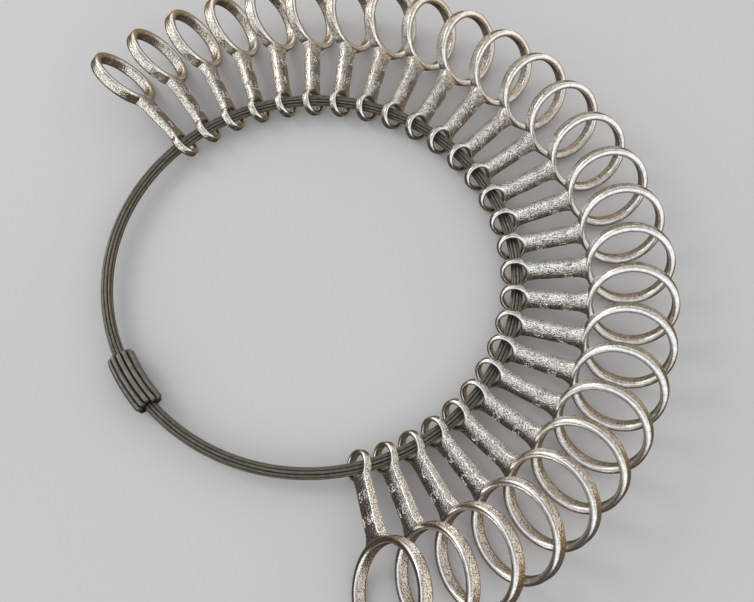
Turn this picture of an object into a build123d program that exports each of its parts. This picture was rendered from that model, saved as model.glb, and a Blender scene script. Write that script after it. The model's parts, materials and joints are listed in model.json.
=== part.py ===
from build123d import *
import math
import os

# Finger-size gauge set: 27 one-piece ring gauges threaded by their eyelets
# on a closed loop of twelve fine wire ropes, crimped in a fluted sleeve.
# Millimetres and degrees. +Z is up and the set lies on z = 0: the sleeve and
# the rims of the bands touch it. The origin is under the middle of the set's
# outline, and the rope loop's centre stands to the left of it.
# All gauges lean over the same way, as far as their eyelets let them.

# ---- sizes of the gauges ---------------------------------------------------
gauge_count = 27
first_size = 3.0  # trade finger size of the smallest gauge
size_step = 0.25  # quarter sizes
size_zero_bore = 11.63  # inside diameter of size 0
bore_per_size = 0.8128  # growth of the inside diameter per whole size
band_wall = 1.65  # radial thickness of the measuring band
band_width = 3.0  # axial width of the measuring band
band_round = 0.6  # rounding of the band's rims

# ---- stem and eyelet -------------------------------------------------------
stem_length = 12.5  # clear length between eyelet and band, middle gauge
stem_growth = 1.4  # extra length at the large end, taken off at the small end
stem_width = 4.2
stem_thin = 1.95  # thickness at the eyelet's centre
stem_thick = 2.7  # thickness where the stem meets the band
stem_round = 0.4
eyelet_wall = 1.05
eyelet_width = 2.0
eyelet_round = 0.5
eyelet_fillet = 1.0  # shoulder between stem and eyelet
band_fillet = 1.6  # flare between stem and band

# ---- rope loop -------------------------------------------------------------
rope_ring_radius = 49.0  # centre line of the closed loop
rope_diameter = 2.85  # over the whole bundle
outer_strands = 9
core_strands = 3
strand_gap = 0.03  # between neighbouring ropes
rope_joint_angle = 218.0  # where the ends meet, inside the sleeve
rope_end_gap = 1.0  # between the two cut ends

# ---- sleeve ----------------------------------------------------------------
sleeve_length = 14.5
sleeve_diameter = 6.6
sleeve_lobes = 12
sleeve_wall = 0.45
sleeve_grip_gap = 0.02  # between the flutes and the ropes

# ---- how the gauges lie ----------------------------------------------------
lean_angle = 38.0  # gauge plane, away from upright
first_angle = 137.2  # place of the smallest gauge round the loop
gauge_pitch = 8.47  # step between the smaller gauges
even_gauges = 12  # steps that stay even
pitch_ease = 0.096  # each step after those is smaller by this
eyelet_slip = 0.4  # eyelets sit this far inside the rope's centre line
eyelet_running_gap = 0.12  # ropes to eyelet, at the leaning limit

# ---- derived values --------------------------------------------------------
rope_radius = rope_diameter / 2
strand_radius = rope_radius * math.sin(math.pi / outer_strands)
strand_radius = strand_radius / (1 + math.sin(math.pi / outer_strands))
strand_radius = strand_radius - strand_gap / 2
outer_ring = rope_radius - strand_radius
core_radius = min(strand_radius, 0.45 * (outer_ring - strand_radius - strand_gap))
core_ring = (2 * core_radius + strand_gap) / (2 * math.sin(math.pi / core_strands))

lean_cos = math.cos(math.radians(lean_angle))
lean_sin = math.sin(math.radians(lean_angle))
half_flat = eyelet_width / 2 - eyelet_round
eyelet_bore = rope_radius + eyelet_running_gap + eyelet_round + half_flat * lean_sin
eyelet_bore = math.hypot(eyelet_bore / lean_cos, eyelet_slip) - eyelet_round
eyelet_outer = eyelet_bore + eyelet_wall
eyelet_reach = (eyelet_outer - eyelet_round) * (lean_cos + 0.02)
eyelet_reach = eyelet_reach + half_flat * lean_sin + eyelet_round
sleeve_radius = max(sleeve_diameter / 2, eyelet_reach + 0.02)
rope_height = sleeve_radius


def gauge_sizes(index):
    """Bore radius, outer radius and eyelet-to-bore distance of one gauge."""
    size = first_size + size_step * index
    bore = (size_zero_bore + bore_per_size * size) / 2
    outer = bore + band_wall
    spread = (index - (gauge_count - 1) / 2) / ((gauge_count - 1) / 2)
    reach = eyelet_outer + stem_length + stem_growth * spread / 2 + outer
    return size, bore, outer, reach


def rise_angle(outer, reach):
    """Rise of the stem that puts both the eyelet and the band on the surface."""
    rise = 0.2
    for _ in range(12):
        normal_z = lean_sin * math.cos(rise)
        edge_z = math.sqrt(1 - normal_z**2)
        low = (outer - band_round) * edge_z + (band_width / 2 - band_round) * normal_z
        low = low + band_round - rope_height
        rise = math.asin(low / reach)
    return rise


def gauge_axes(index):
    """Directions of one gauge: outwards, along its stem, and its normal."""
    size, bore, outer, reach = gauge_sizes(index)
    late = max(0, index - even_gauges)
    turn = math.radians(first_angle - gauge_pitch * index + pitch_ease * late * late / 2)
    rise = rise_angle(outer, reach)
    out = Vector(math.cos(turn), math.sin(turn), 0)
    along = Vector(-math.sin(turn), math.cos(turn), 0)
    up = Vector(0, 0, 1)
    stem = out * math.cos(rise) + up * math.sin(rise)
    square = up * math.cos(rise) - out * math.sin(rise)
    normal = square * lean_sin - along * lean_cos
    return out, stem, normal


def outline(side):
    """How far the bands and the ropes stand out from the loop's centre."""
    far = [rope_ring_radius + rope_radius]
    for index in range(gauge_count):
        size, bore, outer, reach = gauge_sizes(index)
        out, stem, normal = gauge_axes(index)
        centre = out * (rope_ring_radius - eyelet_slip) + stem * reach
        facing = abs(normal.dot(side))
        edge = math.sqrt(1 - facing**2)
        rim = (outer - band_round) * edge + (band_width / 2 - band_round) * facing
        far.append(centre.dot(side) + rim + band_round)
    return max(far)


loop_x = (outline(Vector(-1, 0, 0)) - outline(Vector(1, 0, 0))) / 2
loop_y = (outline(Vector(0, -1, 0)) - outline(Vector(0, 1, 0))) / 2
loop_middle = Vector(loop_x, loop_y, rope_height)


def gauge_plane(index):
    """Plane of one gauge: origin in its eyelet, x along the stem, z its normal."""
    out, stem, normal = gauge_axes(index)
    centre = loop_middle + out * (rope_ring_radius - eyelet_slip)
    return Plane(origin=centre, x_dir=stem, z_dir=normal)


def size_name(size):
    whole = int(size)
    part = int(round((size - whole) * 100))
    return f"gauge_size_{whole}" if part == 0 else f"gauge_size_{whole}_{part}"


os.makedirs("parts", exist_ok=True)

# ---- gauges: one casting each, eyelet, flat stem and measuring band --------
for index in range(gauge_count):
    size, bore, outer, reach = gauge_sizes(index)
    base = gauge_plane(index)
    band_centre = base.origin + base.x_dir * reach
    half = stem_width / 2
    eyelet_end = math.sqrt(eyelet_outer**2 - half**2)
    band_start = reach - math.sqrt((outer - 0.15) ** 2 - half**2)
    slope = (stem_thick - stem_thin) / band_start
    back, front = -eyelet_outer - 1, reach + outer + 1
    with BuildPart() as gauge:
        # flat stem, flared into the eyelet at one end and the band at the other
        with BuildSketch(base.offset(-band_width)) as blank:
            Circle(eyelet_outer - 0.05)
            with Locations(((eyelet_end + band_start) / 2, 0)):
                Rectangle(band_start - eyelet_end + 1.6, stem_width)
            with Locations((reach, 0)):
                Circle(outer - 0.15)
            corners = [v for v in blank.vertices() if abs(abs(v.Y) - half) < 0.01]
            fillet([v for v in corners if v.X < reach / 2], eyelet_fillet)
            corners = [v for v in blank.vertices() if abs(abs(v.Y) - half) < 0.01]
            fillet([v for v in corners if abs(v.X - band_start) < 0.01], band_fillet)
        extrude(amount=2 * band_width)
        # both faces slope, so the stem thickens evenly towards the band
        with BuildSketch(Plane(origin=base.origin, x_dir=base.x_dir, z_dir=base.y_dir)):
            with BuildLine():
                Polyline(
                    (back, -(stem_thin + slope * back) / 2),
                    (front, -(stem_thin + slope * front) / 2),
                    (front, (stem_thin + slope * front) / 2),
                    (back, (stem_thin + slope * back) / 2),
                    close=True,
                )
            make_face()
        extrude(amount=2 * outer, both=True, mode=Mode.INTERSECT)
        flats = [f for f in gauge.faces() if abs(f.normal_at().dot(base.z_dir)) > 0.99]
        fillet([e for f in flats for e in f.edges()], stem_round)
        # clear the middle of both ends, and what lies past the flare
        with BuildSketch(base.offset(-band_width)):
            Circle(eyelet_bore + eyelet_wall / 2)
            with Locations((reach, 0)):
                Circle(bore + band_wall / 2)
            with Locations((reach + 0.4 * outer, 0)):
                Rectangle(2 * outer, 3 * outer)
        extrude(amount=2 * band_width, mode=Mode.SUBTRACT)
        # eyelet ring with rounded rims
        eyelet_axis = Axis(base.origin, base.z_dir)
        with BuildSketch(Plane(origin=base.origin, x_dir=base.x_dir, z_dir=base.y_dir)):
            with Locations((eyelet_bore + eyelet_wall / 2, 0)):
                RectangleRounded(eyelet_wall, eyelet_width, eyelet_round)
        revolve(axis=eyelet_axis)
        # measuring band with rounded rims
        band_axis = Axis(band_centre, base.z_dir)
        with BuildSketch(Plane(origin=band_centre, x_dir=base.x_dir, z_dir=base.y_dir)):
            with Locations((bore + band_wall / 2, 0)):
                RectangleRounded(band_wall, band_width, band_round)
        revolve(axis=band_axis)
    gauge.part.label = size_name(size)
    export_step(gauge.part, f"parts/{size_name(size)}.step")

# ---- rope loop: nine outer and three core ropes, ends meeting in the sleeve -
end_angle = math.degrees(rope_end_gap / rope_ring_radius)
arc_angle = 360 - end_angle
start_angle = rope_joint_angle + end_angle / 2
loop_axis = Axis(loop_middle, (0, 0, 1))
start = math.radians(start_angle)
start_out = Vector(math.cos(start), math.sin(start), 0)
start_side = Vector(math.sin(start), -math.cos(start), 0)
loop_centre = loop_middle + start_out * rope_ring_radius
start_plane = Plane(origin=loop_centre, x_dir=start_out, z_dir=start_side)
for layer, count, ring, radius in (
    ("outer", outer_strands, outer_ring, strand_radius),
    ("core", core_strands, core_ring, core_radius),
):
    for strand in range(count):
        place = math.radians(360 / count * strand + 90)
        with BuildPart() as rope:
            with BuildSketch(start_plane):
                with Locations((ring * math.cos(place), ring * math.sin(place))):
                    Circle(radius)
            revolve(axis=loop_axis, revolution_arc=arc_angle)
        rope.part.label = f"rope_{layer}_{strand + 1}"
        export_step(rope.part, f"parts/rope_{layer}_{strand + 1}.step")

# ---- sleeve: fluted tube crimped over the ends, bent to the loop -----------
sleeve_angle = math.degrees(sleeve_length / rope_ring_radius)
sleeve_start = math.radians(rope_joint_angle - sleeve_angle / 2)
sleeve_out = Vector(math.cos(sleeve_start), math.sin(sleeve_start), 0)
sleeve_side = Vector(math.sin(sleeve_start), -math.cos(sleeve_start), 0)
sleeve_centre = loop_middle + sleeve_out * rope_ring_radius
sleeve_plane = Plane(origin=sleeve_centre, x_dir=sleeve_out, z_dir=sleeve_side)
flute_inner = rope_radius + sleeve_grip_gap
flute_mean = (sleeve_radius + flute_inner + sleeve_wall) / 2
flute_swing = (sleeve_radius - flute_inner - sleeve_wall) / 2


def flute_points(offset):
    """Points on a fluted outline: a circle whose radius waves once per lobe."""
    steps = sleeve_lobes * 6
    points = []
    for step in range(steps):
        angle = 2 * math.pi * step / steps + math.pi / 2
        wave = flute_swing * math.cos(sleeve_lobes * (angle - math.pi / 2))
        radius = flute_mean + wave + offset
        points.append((radius * math.cos(angle), radius * math.sin(angle)))
    return points


with BuildPart() as sleeve:
    with BuildSketch(sleeve_plane):
        with BuildLine():
            Spline(*flute_points(0), periodic=True)
        make_face()
        with BuildLine():
            Spline(*flute_points(-sleeve_wall), periodic=True)
        make_face(mode=Mode.SUBTRACT)
    revolve(axis=loop_axis, revolution_arc=sleeve_angle)
sleeve.part.label = "crimp_sleeve"
export_step(sleeve.part, "parts/crimp_sleeve.step")
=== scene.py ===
"""Looks of the ring sizer set: cast gauges on a loop of twisted wire ropes."""

import json
import math

import bpy
import numpy as np
from mathutils import Matrix, Vector


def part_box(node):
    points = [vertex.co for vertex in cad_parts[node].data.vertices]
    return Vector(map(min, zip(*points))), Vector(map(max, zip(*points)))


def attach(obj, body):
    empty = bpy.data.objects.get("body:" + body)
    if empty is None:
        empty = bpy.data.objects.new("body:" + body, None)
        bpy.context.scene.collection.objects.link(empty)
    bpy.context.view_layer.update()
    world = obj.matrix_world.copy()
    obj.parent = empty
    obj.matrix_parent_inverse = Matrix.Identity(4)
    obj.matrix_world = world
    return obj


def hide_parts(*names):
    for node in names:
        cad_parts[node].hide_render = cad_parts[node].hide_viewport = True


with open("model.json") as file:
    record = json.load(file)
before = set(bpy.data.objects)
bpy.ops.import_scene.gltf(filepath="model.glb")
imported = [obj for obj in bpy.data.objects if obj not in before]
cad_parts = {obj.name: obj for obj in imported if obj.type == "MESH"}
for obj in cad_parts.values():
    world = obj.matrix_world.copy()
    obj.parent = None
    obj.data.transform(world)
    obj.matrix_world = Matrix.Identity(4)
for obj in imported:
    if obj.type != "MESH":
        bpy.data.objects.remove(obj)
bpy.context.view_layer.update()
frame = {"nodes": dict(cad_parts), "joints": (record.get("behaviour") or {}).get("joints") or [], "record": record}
record = frame["record"]

MM = 0.001
SEED = 27

# ---- camera: place from the loop's centre in millimetres, turns in degrees --
CAMERA_PLACE = (15.62, -80.69, 174.76)
CAMERA_DOWN = 67.31
CAMERA_ROLL = 3.10
LENS = 38.258
SENSOR = 36.0

# ---- the loop: places that the frame gives, and the ropes' sizes ------------
core_low, core_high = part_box("rope_core_1")
loop_centre = (core_low + core_high) / 2
sleeve_low, sleeve_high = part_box("crimp_sleeve")
sleeve_middle = (sleeve_low + sleeve_high) / 2
LOOP_RADIUS = 49.0 * MM
ROPE_RADIUS = 1.425 * MM
OUTER_ROPES = 9
ROPE_HEIGHT = frame["joints"][0]["pos_m"][2]
ROPE_WIRES = 7
ROPE_TURNS = 64
ROPE_END_GAP = 1.0 * MM
WIRE_GROOVE = 0.16
strand_sine = math.sin(math.pi / OUTER_ROPES)
STRAND_RADIUS = ROPE_RADIUS * strand_sine / (1 + strand_sine) - 0.015 * MM
OUTER_RING = ROPE_RADIUS - STRAND_RADIUS

# ---- the crimped sleeve -----------------------------------------------------
SLEEVE_FLUTES = 12
SLEEVE_HALF_LENGTH = 7.25 * MM
SLEEVE_CREST = 3.26 * MM
SLEEVE_VALLEY = 2.42 * MM
SLEEVE_BORE = 1.5 * MM
SLEEVE_WALL = 0.45 * MM
SLEEVE_END_ROUND = 0.6 * MM
SLEEVE_SHIFT = 0.3 * MM

# ---- sizes of a gauge, in millimetres ---------------------------------------
BAND_WALL = 1.65
BAND_HALF_WIDTH = 1.5
BAND_ROUND = 0.6
EYELET_BORE = 2.512
EYELET_WALL = 1.05
EYELET_HALF_WIDTH = 1.0
EYELET_ROUND = 0.5
STEM_HALF_WIDTH = 2.1
STEM_HALF_THIN = 0.975
STEM_HALF_THICK = 1.35
STEM_CORNER = 0.32
STEM_CROWN = 0.13
STEM_BITE = 0.62
NECK_FLARE = 0.3
NECK_LENGTH = 1.5
BAND_FLARE = 1.2
FLARE_LENGTH = 2.6
WAIST = 0.05
WAIST_PLACE = 2.6
WAIST_SPREAD = 1.4
STAMP_DEPTH = 0.17
STAMP_HALF_STROKE = 0.09
STAMP_LIP = 0.02
STAMP_HEIGHT = 1.9
SIZE_STAMP_FOOT = -4.1
BORE_STAMP_FOOT = 1.4
STEM_ROWS = 172
TOP_COLUMNS = 52


# ---- camera -----------------------------------------------------------------
def make_camera():
    """Camera to the front and high above, tilted down, rolled a little."""
    data = bpy.data.cameras.new("camera")
    data.sensor_width = SENSOR
    data.lens = LENS
    data.clip_start = 0.01
    camera = bpy.data.objects.new("camera", data)
    bpy.context.scene.collection.objects.link(camera)
    down = math.radians(CAMERA_DOWN)
    roll = math.radians(CAMERA_ROLL)
    forward = Vector((0, math.cos(down), -math.sin(down)))
    level = Vector((1, 0, 0))
    above = level.cross(forward)
    right = level * math.cos(roll) + above * math.sin(roll)
    up = above * math.cos(roll) - level * math.sin(roll)
    turn = Matrix((right, up, -forward)).transposed()
    place = loop_centre + Vector(CAMERA_PLACE) * MM
    camera.matrix_world = Matrix.Translation(place) @ turn.to_4x4()
    bpy.context.scene.camera = camera


make_camera()
bpy.context.scene.view_settings.view_transform = "Standard"


# ---- mesh helpers -----------------------------------------------------------
def mesh_piece(name, points, faces, smooth=True):
    """A mesh object from an array of points and an array of quads."""
    mesh = bpy.data.meshes.new(name)
    mesh.vertices.add(len(points))
    mesh.vertices.foreach_set("co", np.ascontiguousarray(points, np.float32).ravel())
    mesh.loops.add(faces.size)
    mesh.loops.foreach_set("vertex_index", faces.ravel().astype(np.int32))
    mesh.polygons.add(len(faces))
    starts = np.arange(0, faces.size, faces.shape[1], dtype=np.int32)
    mesh.polygons.foreach_set("loop_start", starts)
    mesh.update(calc_edges=True)
    mesh.validate()
    if smooth:
        mesh.polygons.foreach_set("use_smooth", np.ones(len(faces), bool))
    piece = bpy.data.objects.new(name, mesh)
    bpy.context.scene.collection.objects.link(piece)
    return piece


def grid_faces(rows, columns, wrap_rows, wrap_columns):
    """Quads of a grid of points, closed round one way, both ways or neither."""
    i = np.arange(rows if wrap_rows else rows - 1)
    j = np.arange(columns if wrap_columns else columns - 1)
    i, j = np.meshgrid(i, j, indexing="ij")
    i2, j2 = (i + 1) % rows, (j + 1) % columns
    quads = np.stack([i * columns + j, i2 * columns + j, i2 * columns + j2, i * columns + j2], -1)
    return quads.reshape(-1, 4)


def rounded_section(half_x, half_z, corner, arc_steps, flat_x, flat_z):
    """A rectangle with round corners as one closed loop of points, anticlockwise."""
    arc = np.linspace(0, np.pi / 2, arc_steps)
    flat_x, flat_z = max(2, flat_x), max(2, flat_z)
    loop = []
    for quarter in range(4):
        angle = arc + quarter * np.pi / 2
        cx = (half_x - corner) * (1 if quarter in (0, 3) else -1)
        cz = (half_z - corner) * (1 if quarter in (0, 1) else -1)
        loop.append(np.stack([cx + corner * np.cos(angle), cz + corner * np.sin(angle)], -1))
        count = flat_x if quarter in (0, 2) else flat_z
        nxt = (quarter + 1) % 4
        ex = (half_x - corner) * (1 if nxt in (0, 3) else -1)
        ez = (half_z - corner) * (1 if nxt in (0, 1) else -1)
        end_angle = nxt * np.pi / 2 if nxt else 2 * np.pi
        end = np.array([ex + corner * np.cos(end_angle), ez + corner * np.sin(end_angle)])
        share = np.linspace(0, 1, count + 1)[1:-1, None]
        loop.append(loop[-1][-1] * (1 - share) + end * share)
    return np.concatenate(loop)


def hoop(bore, wall, half_width, corner, around, arc_steps, flats):
    """A rounded section carried round a circle: point = (r cos a, r sin a, z)."""
    section = rounded_section(wall / 2, half_width, corner, arc_steps, 2, flats)
    radius = bore + wall / 2 + section[:, 0]
    angle = np.linspace(0, 2 * np.pi, around, endpoint=False)
    x = radius[None, :] * np.cos(angle)[:, None]
    y = radius[None, :] * np.sin(angle)[:, None]
    z = np.broadcast_to(section[:, 1], x.shape)
    points = np.stack([x, y, z], -1).reshape(-1, 3)
    return points, grid_faces(around, len(section), True, True)


# ---- stamped numbers --------------------------------------------------------
def arc_stroke(cx, cy, rx, ry, start, end, steps=9):
    """Points of an elliptical arc, angles in quarter turns."""
    a = np.linspace(start, end, steps) * np.pi / 2
    return np.stack([cx + rx * np.cos(a), cy + ry * np.sin(a)], -1)


def digit_strokes(character):
    """Strokes of one stamped character in a box one wide and two high."""
    line = lambda *pairs: np.array(pairs, float)
    strokes = {
        "0": [arc_stroke(0.5, 1.0, 0.45, 0.95, 0, 4, 17)],
        "1": [line((0.2, 1.6), (0.55, 1.95), (0.55, 0.05))],
        "2": [
            arc_stroke(0.5, 1.5, 0.42, 0.45, 2, -0.6),
            line((0.83, 1.14), (0.08, 0.05), (0.95, 0.05)),
        ],
        "3": [
            arc_stroke(0.45, 1.48, 0.42, 0.45, 1.8, -1),
            arc_stroke(0.45, 0.54, 0.45, 0.49, 1, -1.8),
        ],
        "4": [line((0.95, 0.6), (0.05, 0.6), (0.7, 1.95), (0.7, 0.05))],
        "5": [
            line((0.88, 1.95), (0.15, 1.95), (0.12, 1.1)),
            arc_stroke(0.45, 0.65, 0.47, 0.6, 1.5, -1.7),
        ],
        "6": [arc_stroke(0.5, 0.6, 0.43, 0.55, 0, 4, 15), line((0.08, 0.7), (0.25, 1.4), (0.75, 1.95))],
        "7": [line((0.08, 1.95), (0.92, 1.95), (0.4, 0.05))],
        "8": [arc_stroke(0.5, 1.5, 0.36, 0.43, 0, 4, 13), arc_stroke(0.5, 0.55, 0.43, 0.5, 0, 4, 13)],
        "9": [arc_stroke(0.5, 1.4, 0.43, 0.55, 0, 4, 15), line((0.92, 1.3), (0.75, 0.6), (0.25, 0.05))],
        ".": [line((0.1, 0.05), (0.2, 0.05))],
    }
    return strokes[character]


def stamp_depth(x, y, text, foot_x, height):
    """Depth of a line of stamped characters, read across the stem.

    The characters' tops point along the stem. Depth falls off from the stroke's
    middle line: full inside half a stroke, none beyond one stroke."""
    unit = height / 2
    widths = [0.45 if c == "." else 1.35 for c in text]
    start = sum(widths) * unit / 2
    nearest = np.full(x.shape, 1e3)
    pen = 0.0
    for character, width in zip(text, widths):
        for stroke in digit_strokes(character):
            sx = foot_x + stroke[:, 1] * unit
            sy = start - (pen + stroke[:, 0]) * unit - 0.1 * unit
            for k in range(len(stroke) - 1):
                ax, ay, bx, by = sx[k], sy[k], sx[k + 1], sy[k + 1]
                dx, dy = bx - ax, by - ay
                span = dx * dx + dy * dy + 1e-12
                t = np.clip(((x - ax) * dx + (y - ay) * dy) / span, 0, 1)
                nearest = np.minimum(nearest, np.hypot(x - ax - t * dx, y - ay - t * dy))
        pen += width
    edge = np.clip((2 * STAMP_HALF_STROKE - nearest) / STAMP_HALF_STROKE, 0, 1)
    lip = np.exp(-(((nearest - 2.4 * STAMP_HALF_STROKE) / (0.5 * STAMP_HALF_STROKE)) ** 2))
    return STAMP_DEPTH * edge * edge * (3 - 2 * edge) - STAMP_LIP * lip


# ---- the stem ---------------------------------------------------------------
def stem(reach, bore, size_text, bore_text):
    """Stem from inside the eyelet's wall to inside the band's wall.

    Each row is a crowned, round-cornered section. The half width is constant, has
    a slight waist after the eyelet, and swells by the square of the distance near
    both ends. The thickness grows evenly towards the band. Rows bow with the two
    round walls that they meet, and the top face is lowered by the stamps."""
    wall_eye = EYELET_BORE + STEM_BITE * EYELET_WALL
    wall_band = bore + STEM_BITE * BAND_WALL
    start, end = wall_eye, reach - wall_band
    x = np.linspace(start, end, STEM_ROWS)
    near = np.clip(1 - (x - start) / NECK_LENGTH, 0, 1)
    far = np.clip(1 - (end - x) / FLARE_LENGTH, 0, 1)
    half = STEM_HALF_WIDTH + NECK_FLARE * near**2 + BAND_FLARE * far**2
    half = half - WAIST * np.exp(-(((x - start - WAIST_PLACE) / WAIST_SPREAD) ** 2))
    share = x / (reach - bore - BAND_WALL)
    thick = STEM_HALF_THIN + (STEM_HALF_THICK - STEM_HALF_THIN) * share
    thick = np.minimum(thick, BAND_HALF_WIDTH - 0.1)
    top = np.linspace(-1, 1, TOP_COLUMNS)
    arc = np.linspace(0, np.pi / 2, 5)[1:]
    bottom = np.linspace(1, -1, 12)

    flat = (half - STEM_CORNER)[:, None]
    crown = lambda s: STEM_CROWN * s**2
    ht = thick[:, None]
    top_y = -top[None, :] * flat
    top_z = ht - crown(top)[None, :] + 0 * top_y
    edge_z = ht - STEM_CROWN - STEM_CORNER
    side_y = -flat - STEM_CORNER * np.sin(arc)[None, :]
    side_z = edge_z + STEM_CORNER * np.cos(arc)[None, :]
    low_arc = arc[::-1]
    low_y = -flat - STEM_CORNER * np.sin(low_arc)[None, :]
    low_z = -(edge_z + STEM_CORNER * np.cos(low_arc)[None, :])
    bottom_y = -bottom[None, :] * flat
    bottom_z = -(ht - crown(bottom)[None, :]) + 0 * bottom_y
    up_y = flat + STEM_CORNER * np.sin(arc)[None, :]
    up_z = -(edge_z + STEM_CORNER * np.cos(arc)[None, :])
    back_y = flat + STEM_CORNER * np.sin(low_arc)[None, :]
    back_z = edge_z + STEM_CORNER * np.cos(low_arc)[None, :]
    y = np.concatenate([top_y, side_y, low_y, bottom_y, up_y, back_y], 1)
    z = np.concatenate([top_z, side_z, low_z, bottom_z, up_z, back_z], 1)

    bow_eye = wall_eye - np.sqrt(np.maximum(wall_eye**2 - y**2, 0.2))
    bow_band = wall_band - np.sqrt(wall_band**2 - y**2)
    xx = x[:, None] - near[:, None] * bow_eye + far[:, None] * bow_band
    middle = (start + end) / 2
    face_x, face_y = xx[:, :TOP_COLUMNS], y[:, :TOP_COLUMNS]
    cut = stamp_depth(face_x, face_y, size_text, middle + SIZE_STAMP_FOOT, STAMP_HEIGHT)
    cut = cut + stamp_depth(face_x, face_y, bore_text, middle + BORE_STAMP_FOOT, STAMP_HEIGHT)
    z[:, :TOP_COLUMNS] -= cut
    columns = y.shape[1]
    points = np.stack([xx, y, z], -1).reshape(-1, 3)
    faces = grid_faces(STEM_ROWS, columns, False, True)
    return points, faces, STEM_ROWS, columns


def close_ends(points, faces, rows, columns):
    """Adds a middle point and a fan of quads to each end of a tube of points."""
    first, last = points[:columns], points[-columns:]
    count = len(points)
    points = np.concatenate([points, [first.mean(0)], [last.mean(0)]])
    j = np.arange(0, columns, 2)
    base = (rows - 1) * columns
    j1, j2 = (j + 1) % columns, (j + 2) % columns
    fan_a = np.stack([np.full_like(j, count), j, j1, j2], -1)
    fan_b = np.stack([np.full_like(j, count + 1), base + j2, base + j1, base + j], -1)
    return points, np.concatenate([faces, fan_a, fan_b])


def united(name, parts):
    """One closed mesh from several overlapping closed ones."""
    pieces = [mesh_piece(f"{name}_{k}", p, f) for k, (p, f) in enumerate(parts)]
    keep = pieces[0]
    for other in pieces[1:]:
        cut = keep.modifiers.new("join", "BOOLEAN")
        cut.operation = "UNION"
        cut.solver = "MANIFOLD"
        cut.object = other
    graph = bpy.context.evaluated_depsgraph_get()
    mesh = bpy.data.meshes.new_from_object(keep.evaluated_get(graph))
    for piece in pieces:
        bpy.data.objects.remove(piece)
    mesh.name = name
    return mesh


def make_gauge(joint, mount, material):
    """One gauge: eyelet, stamped stem and band, united, placed and shaded."""
    tag = joint["name"].replace("swing_", "")
    node = "gauge_size_" + tag
    eyelet_at = np.array(joint["pos_m"])
    band_at = np.array(mount["pos_m"])
    normal = np.array(joint["axis"])
    normal = normal / np.linalg.norm(normal)
    reach = np.linalg.norm(band_at - eyelet_at)
    stem_way = (band_at - eyelet_at) / reach
    across = np.cross(normal, stem_way)
    reach = reach / MM
    bore = mount["dims"]["r_mm"]
    size = float(tag.replace("_", "."))
    size_text = f"{size:g}" if size % 0.5 == 0 else f"{size:.2f}"

    eyelet = hoop(EYELET_BORE, EYELET_WALL, EYELET_HALF_WIDTH, EYELET_ROUND, 72, 6, 4)
    band_points, band_faces = hoop(bore, BAND_WALL, BAND_HALF_WIDTH, BAND_ROUND, 128, 7, 6)
    band_points = band_points + np.array([reach, 0, 0])
    stem_mesh = close_ends(*stem(reach, bore, size_text, f"{2 * bore:.1f}"))
    mesh = united(node + "_casting", [(band_points, band_faces), eyelet, stem_mesh])

    count = len(mesh.vertices)
    local = np.empty(count * 3, np.float32)
    mesh.vertices.foreach_get("co", local)
    local = local.reshape(-1, 3).astype(float)
    facing = np.empty(count * 3, np.float32)
    mesh.vertex_normals.foreach_get("vector", facing)
    # share of side wall, by facing: the metal paints a gold reflection on these walls by this share
    wall = np.clip(1.6 - 2.2 * np.abs(facing[2::3]), 0, 1)
    worn = rim_wear(local, reach, bore)
    for name, values in (("rim_wear", worn), ("side_wall", wall)):
        store = mesh.attributes.new(name, "FLOAT", "POINT")
        store.data.foreach_set("value", values.astype(np.float32))
    turn = np.stack([stem_way, across, normal])
    placed = eyelet_at + local * MM @ turn
    mesh.vertices.foreach_set("co", placed.astype(np.float32).ravel())
    mesh.polygons.foreach_set("use_smooth", np.ones(len(mesh.polygons), bool))
    mesh.set_sharp_from_angle(angle=math.radians(38))
    mesh.update()
    gauge = bpy.data.objects.new(node + "_casting", mesh)
    bpy.context.scene.collection.objects.link(gauge)
    mesh.materials.clear()
    mesh.materials.append(material)
    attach(gauge, joint["child"])
    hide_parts(node)
    return gauge


def rim_wear(local, reach, bore):
    """How polished a point is: one on the rims of band and eyelet, nought on faces."""
    from_band = np.hypot(local[:, 0] - reach, local[:, 1])
    in_band = np.clip((from_band - bore + 0.3) / 0.3, 0, 1)
    rim = np.clip((np.abs(local[:, 2]) - (BAND_HALF_WIDTH - BAND_ROUND)) / BAND_ROUND, 0, 1)
    from_eye = np.hypot(local[:, 0], local[:, 1])
    by_eye = (from_eye < EYELET_BORE + EYELET_WALL + 0.02).astype(float)
    lip = np.clip((np.abs(local[:, 2]) - (EYELET_HALF_WIDTH - EYELET_ROUND)) / EYELET_ROUND, 0, 1)
    near_band = (from_band < bore + BAND_WALL + 0.02).astype(float)
    return np.maximum(in_band * rim * near_band, lip * by_eye)


# ---- materials --------------------------------------------------------------
def new_material(name):
    """An empty node material and a helper that adds and links nodes."""
    material = bpy.data.materials.new(name)
    material.use_nodes = True
    tree = material.node_tree
    tree.nodes.clear()
    output = tree.nodes.new("ShaderNodeOutputMaterial")
    shader = tree.nodes.new("ShaderNodeBsdfPrincipled")
    tree.links.new(shader.outputs[0], output.inputs[0])

    def node(kind, links=(), **values):
        made = tree.nodes.new(kind)
        for key, value in values.items():
            if key.startswith("in_"):
                made.inputs[key[3:].replace("_", " ")].default_value = value
            else:
                setattr(made, key, value)
        for source, target in links:
            tree.links.new(source, made.inputs[target])
        return made

    return material, tree, shader, node


def ramp(node, source, stops):
    """A colour ramp fed by a value. Stops are (place, (r, g, b)) pairs."""
    made = node("ShaderNodeValToRGB", [(source, "Fac")])
    band = made.color_ramp
    while len(band.elements) < len(stops):
        band.elements.new(0.5)
    for element, (place, colour) in zip(band.elements, stops):
        element.position = place
        element.color = (*colour, 1.0)
    return made


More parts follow.
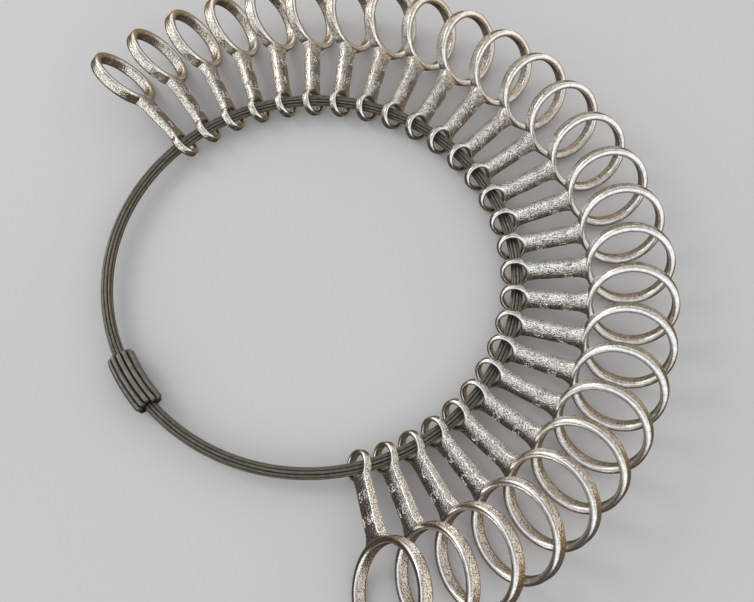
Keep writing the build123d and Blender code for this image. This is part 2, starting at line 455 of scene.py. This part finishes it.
def gauge_metal():
    """Bright plated casting: sandy grain on the faces, polished rims, and a painted gold reflection tinting the
    side walls.
    """
    material, tree, shader, node = new_material("bright_plated_casting")
    place = node("ShaderNodeTexCoord").outputs["Object"]
    wear = node("ShaderNodeAttribute", attribute_name="rim_wear").outputs["Fac"]
    wall = node("ShaderNodeAttribute", attribute_name="side_wall").outputs["Fac"]
    cloud = node("ShaderNodeTexNoise", [(place, "Vector")], in_Scale=800.0, in_Detail=4.0)
    sand = node("ShaderNodeTexNoise", [(place, "Vector")], in_Scale=3300.0, in_Detail=2.0)
    pits = node("ShaderNodeTexVoronoi", [(place, "Vector")], in_Scale=3000.0)
    tint = ramp(node, cloud.outputs["Fac"], [(0.34, (0.80, 0.78, 0.75)), (0.62, (0.94, 0.94, 0.93))])
    # painted gold reflection for the side walls, mixed over the silver plating by their share
    painted_gold_reflection = ramp(node, cloud.outputs["Fac"], [(0.34, (0.78, 0.71, 0.60)), (0.62, (0.92, 0.87, 0.78))])
    plating_and_painted_gold = node("ShaderNodeMix", [(wall, 0)], data_type="RGBA")
    tree.links.new(tint.outputs["Color"], plating_and_painted_gold.inputs[6])
    tree.links.new(painted_gold_reflection.outputs["Color"], plating_and_painted_gold.inputs[7])
    fleck = ramp(node, sand.outputs["Fac"], [(0.40, (0.30, 0.26, 0.21)), (0.50, (1.0, 1.0, 1.0))])
    keep = node("ShaderNodeMath", [(wear, 0)], operation="MULTIPLY_ADD")
    keep.inputs[1].default_value = -0.8
    keep.inputs[2].default_value = 0.9
    colour = node("ShaderNodeMix", [(keep.outputs[0], 0)], data_type="RGBA", blend_type="MULTIPLY")
    tree.links.new(plating_and_painted_gold.outputs[2], colour.inputs[6])
    tree.links.new(fleck.outputs["Color"], colour.inputs[7])
    tree.links.new(colour.outputs[2], shader.inputs["Base Color"])
    shader.inputs["Metallic"].default_value = 1.0
    rough = node("ShaderNodeMapRange", [(wear, "Value")], in_To_Min=0.11, in_To_Max=0.1)
    grain = sand.outputs["Fac"]
    spread = node("ShaderNodeMath", [(grain, 0), (rough.outputs[0], 2)], operation="MULTIPLY_ADD")
    spread.inputs[1].default_value = 0.1
    tree.links.new(spread.outputs[0], shader.inputs["Roughness"])
    depth = node("ShaderNodeMapRange", [(wear, "Value")], in_To_Min=1.0, in_To_Max=0.14)
    pit = pits.outputs["Distance"]
    height = node("ShaderNodeMath", [(pit, 0), (grain, 2)], operation="MULTIPLY_ADD")
    height.inputs[1].default_value = 0.6
    relief = node("ShaderNodeMath", [(height.outputs[0], 0), (depth.outputs[0], 1)], operation="MULTIPLY")
    bump = node("ShaderNodeBump", [(relief.outputs[0], "Height")], in_Strength=1.0, in_Distance=0.00006)
    tree.links.new(bump.outputs[0], shader.inputs["Normal"])
    return material


def wire_metal(name, painted_highlight_colour, painted_shade_colour, along_scale):
    """Dark stranded wire: the colour follows the twist attribute as a painted highlight on the crests and painted
    shade in the grooves.
    """
    material, tree, shader, node = new_material(name)
    place = node("ShaderNodeTexCoord").outputs["Object"]
    strand = node("ShaderNodeAttribute", attribute_name="strand_height").outputs["Fac"]
    dust = node("ShaderNodeTexNoise", [(place, "Vector")], in_Scale=along_scale, in_Detail=4.0)
    # painted highlight on the crests, painted shade in the grooves and wherever the attribute is nought
    painted_highlight_and_shade = ramp(node, strand, [(0.3, painted_shade_colour), (0.85, painted_highlight_colour)])
    patch = ramp(node, dust.outputs["Fac"], [(0.35, (0.6, 0.57, 0.5)), (0.65, (1.0, 1.0, 1.0))])
    colour = node("ShaderNodeMix", data_type="RGBA", blend_type="MULTIPLY")
    colour.inputs[0].default_value = 0.8
    tree.links.new(painted_highlight_and_shade.outputs["Color"], colour.inputs[6])
    tree.links.new(patch.outputs["Color"], colour.inputs[7])
    tree.links.new(colour.outputs[2], shader.inputs["Base Color"])
    shader.inputs["Metallic"].default_value = 0.9
    rough = node("ShaderNodeMapRange", [(dust.outputs["Fac"], "Value")], in_To_Min=0.32, in_To_Max=0.55)
    tree.links.new(rough.outputs[0], shader.inputs["Roughness"])
    bump = node("ShaderNodeBump", [(dust.outputs["Fac"], "Height")], in_Strength=0.4, in_Distance=0.00003)
    tree.links.new(bump.outputs[0], shader.inputs["Normal"])
    return material


# ---- ropes ------------------------------------------------------------------
def make_rope(name, ring_offset, height_offset, start, sweep, phase, material):
    """A twisted rope carried round the loop.

    The section is a circle whose radius waves once for each wire, and the wave
    turns evenly along the loop: r = R (1 - d + d |cos(n (a + turn) / 2)|)."""
    rows, columns = 900, 24
    along = np.linspace(0, 1, rows)
    around = np.linspace(0, 2 * np.pi, columns, endpoint=False)
    a = around[None, :] + 0 * along[:, None]
    twist = a + 2 * np.pi * ROPE_TURNS * along[:, None] + phase
    wave = np.abs(np.cos(ROPE_WIRES * twist / 2))
    reach = STRAND_RADIUS * (1 - WIRE_GROOVE + WIRE_GROOVE * wave)
    ring = LOOP_RADIUS + ring_offset + reach * np.cos(a)
    turn = start + sweep * along[:, None]
    points = np.stack(
        [
            loop_centre.x + ring * np.cos(turn),
            loop_centre.y + ring * np.sin(turn),
            ROPE_HEIGHT + height_offset + reach * np.sin(a),
        ],
        -1,
    ).reshape(-1, 3)
    faces = grid_faces(rows, columns, False, True)[:, ::-1]
    points, faces = close_tube(points, faces, rows, columns)
    rope = mesh_piece(name, points, faces)
    # the wave also paints the colour: painted highlight on each wire's crest, painted shade in the grooves; the
    # end caps get the middle value
    height = np.concatenate([wave.ravel(), [0.5, 0.5]])
    store = rope.data.attributes.new("strand_height", "FLOAT", "POINT")
    store.data.foreach_set("value", height.astype(np.float32))
    rope.data.materials.append(material)
    return rope


def close_tube(points, faces, rows, columns):
    """Closes both ends of a tube whose quads run the other way round."""
    closed, all_faces = close_ends(points, faces[:, ::-1], rows, columns)
    return closed, all_faces[:, ::-1]


def make_ropes():
    """The nine outer ropes, twisted, in place of their plain solids."""
    # the light colour is the painted highlight on the wires, the near-black one the painted shade between them
    material = wire_metal("dark_rope_wire", (0.36, 0.34, 0.28), (0.02, 0.018, 0.013), 900.0)
    to_sleeve = sleeve_middle - loop_centre
    joint_angle = math.atan2(to_sleeve.y, to_sleeve.x)
    gap = ROPE_END_GAP / LOOP_RADIUS
    for strand in range(OUTER_ROPES):
        place = 2 * math.pi * strand / OUTER_ROPES + math.pi / 2
        name = f"rope_outer_{strand + 1}"
        rope = make_rope(
            name + "_twisted",
            ring_offset=OUTER_RING * math.cos(place),
            height_offset=OUTER_RING * math.sin(place),
            start=joint_angle + gap / 2,
            sweep=2 * math.pi - gap,
            phase=strand * 0.7,
            material=material,
        )
        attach(rope, "rope_loop")
        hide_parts(name)
    # the cores carry no crest attribute, so they take the painted-shade colour all over
    for node in ("rope_core_1", "rope_core_2", "rope_core_3"):
        core = frame["nodes"][node]
        core.data.materials.clear()
        core.data.materials.append(material)


# ---- sleeve -----------------------------------------------------------------
def make_sleeve():
    """Crimped sleeve: rounded flutes round the bundle, bent along the loop.

    Radius waves once for each flute as the square root of a cosine, so crests
    are round and valleys are sharp. Each flute's ends are rounded and stop at
    a slightly different place, and every flute is as long as the others, whatever
    its distance from the loop's centre. The wall turns in at both ends and runs
    back."""
    # the light colour is a painted highlight on the flute crests, the dark one painted shade in the valleys and
    # inside
    material = wire_metal("dark_crimped_tube", (0.29, 0.275, 0.24), (0.03, 0.027, 0.02), 700.0)
    lobes, rows, columns = SLEEVE_FLUTES, 90, 288
    to_sleeve = sleeve_middle - loop_centre
    middle = math.atan2(to_sleeve.y, to_sleeve.x)
    around = np.linspace(0, 2 * np.pi, columns, endpoint=False)
    share = np.abs(np.cos(lobes * (around - np.pi / 2) / 2)) ** 0.55
    rng = np.random.default_rng(SEED)
    lift = np.repeat(rng.uniform(-0.12, 0.04, lobes), columns // lobes)
    lift = np.roll(lift, columns // lobes // 2) * MM
    stagger = np.repeat(rng.uniform(-0.5, 0.0, (2, lobes)), columns // lobes, axis=1)
    stagger = np.roll(stagger, columns // lobes // 2, axis=1) * MM
    outer = SLEEVE_VALLEY + (SLEEVE_CREST - SLEEVE_VALLEY + lift) * share
    s = np.linspace(0, 1, rows)[:, None]
    end_low = -SLEEVE_HALF_LENGTH - stagger[0]
    end_high = SLEEVE_HALF_LENGTH + stagger[1]
    along = end_low * (1 - s) + end_high * s
    from_end = np.minimum(along - end_low, end_high - along)
    dome = np.sqrt(np.clip(1 - (1 - np.clip(from_end / SLEEVE_END_ROUND, 0, 1)) ** 2, 0, 1))
    skin = SLEEVE_BORE + SLEEVE_WALL
    outer_r = skin + (outer - skin) * (0.25 + 0.75 * dome)
    inner_r = np.full_like(outer_r, SLEEVE_BORE)
    radius = np.concatenate([outer_r, inner_r[::-1]])
    travel = np.concatenate([along + 0 * outer_r, (along * 0.985)[::-1] + 0 * outer_r])
    ring = LOOP_RADIUS + radius * np.cos(around)[None, :]
    turn = middle + (travel + SLEEVE_SHIFT) / ring
    points = np.stack(
        [
            loop_centre.x + ring * np.cos(turn),
            loop_centre.y + ring * np.sin(turn),
            ROPE_HEIGHT + radius * np.sin(around)[None, :],
        ],
        -1,
    ).reshape(-1, 3)
    faces = grid_faces(2 * rows, columns, True, True)[:, ::-1]
    sleeve = mesh_piece("crimp_sleeve_fluted", points, faces)
    # crest attribute paints the colour: painted highlight on the flute crests, painted shade in the valleys and
    # over the whole inner wall
    height = np.concatenate([share[None, :] + 0 * dome, 0 * inner_r]).ravel()
    store = sleeve.data.attributes.new("strand_height", "FLOAT", "POINT")
    store.data.foreach_set("value", height.astype(np.float32))
    sleeve.data.materials.append(material)
    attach(sleeve, "rope_loop")
    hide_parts("crimp_sleeve")


# ---- room -------------------------------------------------------------------
COOL_SIDE = [
    (0.0, (0.040, 0.034, 0.030)),
    (0.12, (0.115, 0.108, 0.102)),
    (0.25, (0.100, 0.090, 0.080)),
    (0.38, (0.050, 0.037, 0.027)),
    (0.47, (0.080, 0.058, 0.042)),
    (0.545, (0.17, 0.135, 0.105)),
    (0.60, (1.10, 1.13, 1.17)),
    (0.80, (1.00, 1.03, 1.08)),
    (0.93, (0.52, 0.53, 0.55)),
    (1.0, (0.42, 0.43, 0.44)),
]
WARM_SIDE = [
    (0.0, (0.050, 0.040, 0.030)),
    (0.12, (0.15, 0.13, 0.10)),
    (0.25, (0.17, 0.14, 0.095)),
    (0.40, (0.28, 0.20, 0.11)),
    (0.50, (0.50, 0.37, 0.21)),
    (0.56, (0.95, 0.84, 0.66)),
    (0.62, (1.15, 1.15, 1.15)),
    (0.93, (0.52, 0.53, 0.55)),
    (1.0, (0.42, 0.43, 0.44)),
]
BACKDROP = (0.60, 0.60, 0.60)
LAMP_PLACE = (-0.95, 0.42, 0.70)


def make_sky():
    """Light by height: bright above, brown below, gold at the skyline on one side.

    The backdrop itself is plain and pale, and the metal alone mirrors the bands."""
    world = bpy.data.worlds.new("studio")
    bpy.context.scene.world = world
    world.use_nodes = True
    tree = world.node_tree
    tree.nodes.clear()
    output = tree.nodes.new("ShaderNodeOutputWorld")
    back = tree.nodes.new("ShaderNodeBackground")
    place = tree.nodes.new("ShaderNodeTexCoord")
    split = tree.nodes.new("ShaderNodeSeparateXYZ")
    shift = tree.nodes.new("ShaderNodeMapRange")
    shift.inputs["From Min"].default_value = -1.0
    tree.links.new(place.outputs["Generated"], split.inputs[0])
    tree.links.new(split.outputs["Z"], shift.inputs["Value"])
    side = tree.nodes.new("ShaderNodeVectorMath")
    side.operation = "DOT_PRODUCT"
    side.inputs[1].default_value = (0.55, 0.83, 0.0)
    tree.links.new(place.outputs["Generated"], side.inputs[0])
    share = tree.nodes.new("ShaderNodeMapRange")
    share.interpolation_type = "SMOOTHSTEP"
    share.inputs["From Min"].default_value = -0.45
    share.inputs["From Max"].default_value = 0.55
    tree.links.new(side.outputs["Value"], share.inputs["Value"])
    both = tree.nodes.new("ShaderNodeMix")
    both.data_type = "RGBA"
    tree.links.new(share.outputs[0], both.inputs[0])
    for stops, socket in ((COOL_SIDE, 6), (WARM_SIDE, 7)):
        colour = tree.nodes.new("ShaderNodeValToRGB")
        tree.links.new(shift.outputs[0], colour.inputs["Fac"])
        tree.links.new(colour.outputs["Color"], both.inputs[socket])
        band = colour.color_ramp
        while len(band.elements) < len(stops):
            band.elements.new(0.5)
        for element, (stop, value) in zip(band.elements, stops):
            element.position = stop
            element.color = (*value, 1.0)
    seen = tree.nodes.new("ShaderNodeLightPath")
    plain = tree.nodes.new("ShaderNodeMix")
    plain.data_type = "RGBA"
    plain.inputs[7].default_value = (*BACKDROP, 1.0)
    tree.links.new(seen.outputs["Is Camera Ray"], plain.inputs[0])
    tree.links.new(both.outputs[2], plain.inputs[6])
    tree.links.new(plain.outputs[2], back.inputs["Color"])
    tree.links.new(back.outputs[0], output.inputs[0])
    back.inputs["Strength"].default_value = 1.0


def make_room():
    """Pale floor, hidden from the metal's mirroring, and one large soft lamp."""
    material, tree, shader, node = new_material("pale_floor")
    place = node("ShaderNodeTexCoord").outputs["Object"]
    cloud = node("ShaderNodeTexNoise", [(place, "Vector")], in_Scale=9.0, in_Detail=2.0)
    tone = ramp(node, cloud.outputs["Fac"], [(0.3, (0.69, 0.684, 0.673)), (0.7, (0.715, 0.709, 0.697))])
    tree.links.new(tone.outputs["Color"], shader.inputs["Base Color"])
    shader.inputs["Roughness"].default_value = 0.9
    side = 3.0
    corners = np.array([(-1, -1, 0), (1, -1, 0), (1, 1, 0), (-1, 1, 0)], float) * side
    floor = mesh_piece("floor", corners, np.array([[0, 1, 2, 3]]), smooth=False)
    floor.data.materials.append(material)
    floor.visible_glossy = False

    make_sky()
    lamp_data = bpy.data.lights.new("soft_lamp", "AREA")
    lamp_data.shape = "DISK"
    lamp_data.size = 0.5
    lamp_data.energy = 2.6
    lamp_data.color = (1.0, 0.985, 0.96)
    lamp = bpy.data.objects.new("soft_lamp", lamp_data)
    bpy.context.scene.collection.objects.link(lamp)
    lamp.location = loop_centre + Vector(LAMP_PLACE)
    aim = loop_centre - lamp.location
    lamp.rotation_mode = "QUATERNION"
    lamp.rotation_quaternion = aim.to_track_quat("-Z", "Y")


metal = gauge_metal()
bores = {m["name"].replace("finger_bore_", ""): m for m in record["mounts"]}
for joint in frame["joints"]:
    make_gauge(joint, bores[joint["name"].replace("swing_", "")], metal)
make_ropes()
make_sleeve()
make_room()
